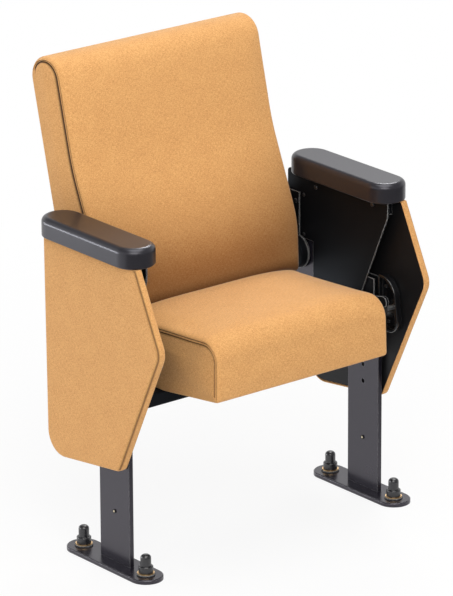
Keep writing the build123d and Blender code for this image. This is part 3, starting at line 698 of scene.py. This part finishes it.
# Lengths in mm; a corner is its distance behind the legs' middle and its height. The lists follow the corners
seatPad = {
    "half": 199.5, "rollWidth": 9, "rollDepths": [4, 6, 4, 3, 3],
    "corners": lambda crown: [
        (-175, 338), (-175 - crown / 3, 452 + crown), (105, 434 + crown), (105, 318), (-15, 318),
    ],
    "rounds": [8, 40, 18, 16, 60],
    "crown": 10, "crownPower": 4.4, "dome": 1.6,  # rise in the middle, how flat it is, and rise of each side
    "piping": 1.5, "valleys": (1.2, 1.4, 3.5, 0.8), "seamSpread": [1, 1, 1, 1, 1],
    "step": 7, "arcStep": 4, "column": 8, "net": 9,
    "seamShare": lambda p: smoothStep(337, 347, p.y),
    "place": standPlace,
    "swell": {
        "voxel": 0.006,
        "free": lambda co: smoothStep(0.325, 0.365, co.z) * (1 - smoothStep(0.02, 0.034, co.y)),
    },
    # Painted shade: darker at the rear of the seat's top, by the back, and towards the rear of its lower
    # part, sides included
    "crease": lambda co: (
        smoothStep(-0.03, 0.03, co.y) * 0.23 if co.z > 0.4 else smoothStep(-0.2, -0.06, co.y) * 0.36
    ),
    "blocks": [((0, -0.1046, 0.328), (0.374, 0.254, 0.056), 0)],  # room for the board and the underpan
}
seatCushion = cushion("seatPad", seatPad).finished(seatPad["swell"], seatPad["crease"])
cutBlocks(seatCushion, seatPad["blocks"])
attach(seatCushion, "seat")
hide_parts("seat_cushion")
print("seat cushion made")

lean = math.radians(13.8)
backFoot = (standardY + 125.9, 422.3)  # where the back's own outline starts, in mm


def backPlace(x, point):
    y = backFoot[0] + point.x * math.cos(lean) + point.y * math.sin(lean)
    z = backFoot[1] - point.x * math.sin(lean) + point.y * math.cos(lean)
    return Vector((x, y, z)) * millimetre


def acrossBack(co):
    return (co.y * 1000 - backFoot[0]) * math.cos(lean) - (co.z * 1000 - backFoot[1]) * math.sin(lean)


# Painted shade on the back: darker towards its foot by the seat, with a painted contact shadow at the very
# foot, and starting higher towards both sides, by the armrests and panels
def backCreaseShade(co):
    low = 1 - smoothStep(0.425, 0.455, co.z)
    high = 1 - smoothStep(0.44, 0.66, co.z - 0.04 * smoothStep(0.03, 0.22, abs(co.x)))
    return 0.67 * high + 0.33 * low


# As the seat's, but a corner is measured across and along the leaning back, from its foot
backPad = {
    "half": 234.5, "rollWidth": 9, "rollDepths": [4, 4, 4, 6, 4, 3],
    "corners": lambda crown: [
        (-9.5 - crown / 2, min(0, crown * 1.8 - 8)),  # reaches lower at both ends, beside the seat
        (-30.5 - crown, 93), (-crown, 281), (-crown, 488), (86, 488), (86, 0),
    ],
    "rounds": [14, 180, 400, 43, 41, 10],
    "crown": 7, "crownPower": 4.4, "dome": 1.6,
    "piping": 1.1, "valleys": (1.7, 6.2, 2.3, 0.8), "seamSpread": [1, 1, 1, 0.45, 0.45, 0.45],
    "step": 8, "arcStep": 4.5, "column": 9, "net": 10,
    "seamShare": lambda p: (1 - smoothStep(76, 85.5, p.x)) * smoothStep(2, 14, p.y + max(0.0, -p.x)),
    "place": backPlace,
    "swell": {"voxel": 0.007, "free": lambda co: 1 - smoothStep(30, 66, acrossBack(co))},
    "crease": backCreaseShade,
    "blocks": [  # room for the board and rear panel, and for the brackets' wings
        (backPlace(0, Vector((85, 231))), (0.44, 0.04, 0.432), -lean),
        (backPlace(205, Vector((63.5, 100))), (0.0806, 0.0036, 0.0966), -lean),
        (backPlace(-205, Vector((63.5, 100))), (0.0806, 0.0036, 0.0966), -lean),
    ],
}
backCushion = cushion("backPad", backPad).finished(backPad["swell"], backPad["crease"])
cutBlocks(backCushion, backPad["blocks"])
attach(backCushion, "stand")
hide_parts("back_cushion")
print("back cushion made")


# Side panels: a padded cloth shell over the board, with a sewn groove along the two front edges
panelPad = {
    "corners": [(178, 592), (174, 171), (-40, 197), (-161, 449), (-91, 592)],
    "rounds": [0, 44, 18, 34, 0],
    "seam": [  # inset, x, painted shade in the groove
        (3.05, 314.6, 0), (3.05, 303.2, 0), (1.7, 302.6, 0), (0.55, 302.9, 0), (0.05, 304.2, 0), (0, 307, 0),
        (0, 310.5, 0), (0.1, 313.4, 0), (0.4, 315.1, 0.15), (1.1, 316.1, 0.5), (2.0, 316.4, 0.75),
        (2.9, 316.6, 0.7), (3.8, 317.5, 0.35), (5.0, 318.3, 0.1), (8, 318.7, 0), (16, 319.0, 0),
    ],
    "plain": [  # inset, x
        (3.05, 314.6), (3.05, 303.2), (1.7, 302.6), (0.55, 302.9), (0.05, 304.2), (0, 307),
        (0, 310.5), (0.05, 313.4), (0.2, 315.0), (0.55, 316.2), (1.1, 317.1), (1.9, 317.8),
        (2.9, 318.25), (4.8, 318.5), (8, 318.7), (16, 319.0),
    ],
    "sideFrom": 12,  # the first ring whose cloth lies flat on the outer face
    "weaveStart": 302,  # the x from which the cloth's length is counted
    "front": -30, "topFront": -90, "top": 591.9,  # the groove runs ahead of these, up to the top edge
    "lowEdge": 200, "fade": (-44, -34),  # and fades out along the low edge
    "dome": 0.8, "domeEdge": 40, "step": 8, "arcStep": 4, "net": 12, "innerNet": 60,
}


def grooveShare(point):
    made = panelPad
    if point.x >= made["front"] or (point.y >= made["top"] and point.x >= made["topFront"]):
        return 0.0
    return 1 - smoothStep(*made["fade"], point.x) if point.y < made["lowEdge"] else 1.0


def panelCover(name, sign):
    made = panelPad
    corners, rounds = made["corners"], made["rounds"]
    size = len(corners)
    counts = countsFor(corners, rounds, made["step"], made["arcStep"])
    weights = [grooveShare(point) for point in outline(corners, rounds, [0] * size, counts)]
    pad = Padding(name, standPlace)
    for k, (seam, plain) in enumerate(zip(made["seam"], made["plain"])):
        seamLine = outline(corners, rounds, [seam[0]] * size, counts)
        plainLine = outline(corners, rounds, [plain[0]] * size, counts)
        flat = [b.lerp(a, w) for a, b, w in zip(seamLine, plainLine, weights)]
        xs = [sign * (plain[1] + (seam[1] - plain[1]) * w) for w in weights]
        # painted shade in the groove
        dark = [seam[2] * w for w in weights]
        pad.ring(xs, flat, dark, plain[1] - made["weaveStart"], k >= made["sideFrom"])
    pad.join()
    pad.fill(len(pad.rings) - 1, sign * made["dome"], made["net"], made["domeEdge"])
    pad.fill(0, 0, made["innerNet"], made["domeEdge"])
    piece = pad.finished()
    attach(piece, "stand")
    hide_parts("panel_cover_right" if sign > 0 else "panel_cover_left")
    return piece


for coverName, coverSign in (("panelPadRight", 1), ("panelPadLeft", -1)):
    panelCover(coverName, coverSign)
print("side panels covered")


# Camera at the photograph's angle, turned a little aside so that no shift is needed
view = {
    "azimuth": -39.492, "elevation": 19.168, "roll": -0.084, "distance": 8.6, "focal": 4759.2,
    "target": (0, -0.167, 0.474), "targetPixel": (276.45, 297.74), "size": (453, 596),
    "sensor": 36, "clip": (0.1, 60),
}


def makeCamera():
    turn, rise, roll = (math.radians(view[name]) for name in ("azimuth", "elevation", "roll"))
    back = Vector((math.sin(turn) * math.cos(rise), -math.cos(turn) * math.cos(rise), math.sin(rise)))
    level = Vector((0, 0, 1)).cross(back).normalized()
    right = level * math.cos(roll) + back.cross(level) * math.sin(roll)
    up = back.cross(right)
    width, height = view["size"]
    aside = (width / 2 - view["targetPixel"][0]) / view["focal"]
    above = (view["targetPixel"][1] - height / 2) / view["focal"]
    aim = (right * aside + up * above - back).normalized()
    right = (right - aim * right.dot(aim)).normalized()
    data = bpy.data.cameras.new("photoCamera")
    data.sensor_width = view["sensor"]
    data.lens = view["focal"] * math.sqrt(1 + aside ** 2 + above ** 2) * view["sensor"] / height
    data.clip_start, data.clip_end = view["clip"]
    camera = bpy.data.objects.new("photoCamera", data)
    scene.collection.objects.link(camera)
    camera.location = Vector(view["target"]) + back * view["distance"]
    camera.rotation_mode = "QUATERNION"
    camera.rotation_quaternion = Matrix((right, right.cross(aim), aim * -1)).transposed().to_quaternion()
    scene.camera = camera


makeCamera()


# Studio: white for the camera, soft light for the object
studio = {
    "worldLight": 0.36,
    "key": ((-2.2, -3.0, 2.6), (3.2, 2.2), 86, (1.0, 0.985, 0.955)),  # place, width and height, power, colour
    "top": ((-0.2, -0.6, 3.2), (2.2, 2.2), 50, (1.0, 0.995, 0.98)),
    "side": ((-2.1, 2.3, 0.3), (1.8, 0.5), 25, (0.94, 0.96, 1.0)),
    "rim": ((2.1, 1.7, 3.2), (1.1, 1.1), 45, (1.0, 1.0, 1.0)),
    "aim": (0, 0, 0.45),
    "ceiling": 0.3,  # how bright the room above the backdrop is
    "wall": (0.4, 0.62),  # heights between which the backdrop turns into the ceiling
    "front": 0.1,  # how bright gloss shows the room in front of the seat
    "depths": (-0.75, 0.1),  # y, front to rear, over which that room turns white
    "darkFloor": (0.05, 0.05, 0.05, 1),
    "floorTints": ((0.85, 0.85, 0.85), (0.88, 0.88, 0.88)),
    "floorWhite": 0.87, "floorFade": (0.5, 1.8),  # white share under the seat, and where it grows to 1
    "floorRadius": 9,
}


# What is seen directly or through something, and how much of the room gloss sees dark
def seenDirect(made, depth):
    path = made.tree.nodes.new("ShaderNodeLightPath")
    camera, glossy, through = (
        Wire(made, path.outputs[name]) for name in ("Is Camera Ray", "Is Glossy Ray", "Is Transmission Ray")
    )
    low, high = studio["depths"]
    rear = made.node("MapRange", {"interpolation_type": "SMOOTHSTEP"}, {
        "Value": depth, "From Min": low, "From Max": high, "To Min": studio["front"], "To Max": 1.0,
    })
    return made.maths("MAXIMUM", made.maths("MAXIMUM", camera, glossy * rear), through), glossy * (1 - rear)


def makeWorld():
    world = bpy.data.worlds.new("studioWorld")
    world.use_nodes = True
    scene.world = world
    room = Finish("room", world.node_tree)
    _, depth, height = room.axes(room.node("TexCoord", out="Generated"))
    low, high = studio["wall"]
    stops = [(low, (1, 1, 1)), (high, (studio["ceiling"],) * 3)]
    wall = room.node("ValToRGB", {"stops": stops}, {"Fac": height})
    light = room.node("Background", {}, {"Color": (1, 1, 1, 1), "Strength": studio["worldLight"]})
    white = room.node("Background", {}, {"Color": wall, "Strength": 1.0})
    seen, _ = seenDirect(room, depth)
    room.output(room.node("MixShader", {}, {0: seen, 1: light, 2: white}), "ShaderNodeOutputWorld")


def makeLamp(name):
    place, size, power, colour = studio[name]
    data = bpy.data.lights.new(name, "AREA")
    data.shape, data.size, data.size_y, data.energy, data.color = "RECTANGLE", *size, power, colour
    lamp = bpy.data.objects.new(name, data)
    scene.collection.objects.link(lamp)
    lamp.location = place
    lamp.rotation_mode = "QUATERNION"
    lamp.rotation_quaternion = (Vector(studio["aim"]) - Vector(place)).to_track_quat("-Z", "Y")


def makeFloor():
    bpy.ops.object.select_all(action="DESELECT")
    bpy.ops.mesh.primitive_circle_add(vertices=96, radius=studio["floorRadius"], fill_type="NGON")
    floor = bpy.context.object
    floor.name = "floor"
    made = Finish("paleFloor")
    place = made.place()
    grain = made.noise(place, 3.0, 2.0)
    darker, lighter = studio["floorTints"]
    tint = made.node("ValToRGB", {"stops": [(0.3, darker), (0.7, lighter)]}, {"Fac": grain})
    _, depth, _ = made.axes(place)
    seen, dim = seenDirect(made, depth)
    matte = made.node("BsdfDiffuse", {}, {"Color": made.mix(dim, tint, studio["darkFloor"])})
    glow = made.node("Emission", {}, {"Color": (1, 1, 1, 1), "Strength": 1.0})
    away = made.node("VectorMath", {"operation": "LENGTH"}, {0: place}, "Value")
    near, wide = studio["floorFade"]
    far = made.node("MapRange", {"interpolation_type": "SMOOTHSTEP"}, {
        "Value": away, "From Min": near, "From Max": wide, "To Min": studio["floorWhite"], "To Max": 1.0,
    })
    made.output(made.node("MixShader", {}, {0: far * seen, 1: matte, 2: glow}))
    floor.data.materials.append(made.material)


makeWorld()
for lampName in ("key", "top", "side", "rim"):
    makeLamp(lampName)
makeFloor()
scene.view_settings.view_transform = "Standard"
print("camera, lamps and floor set")
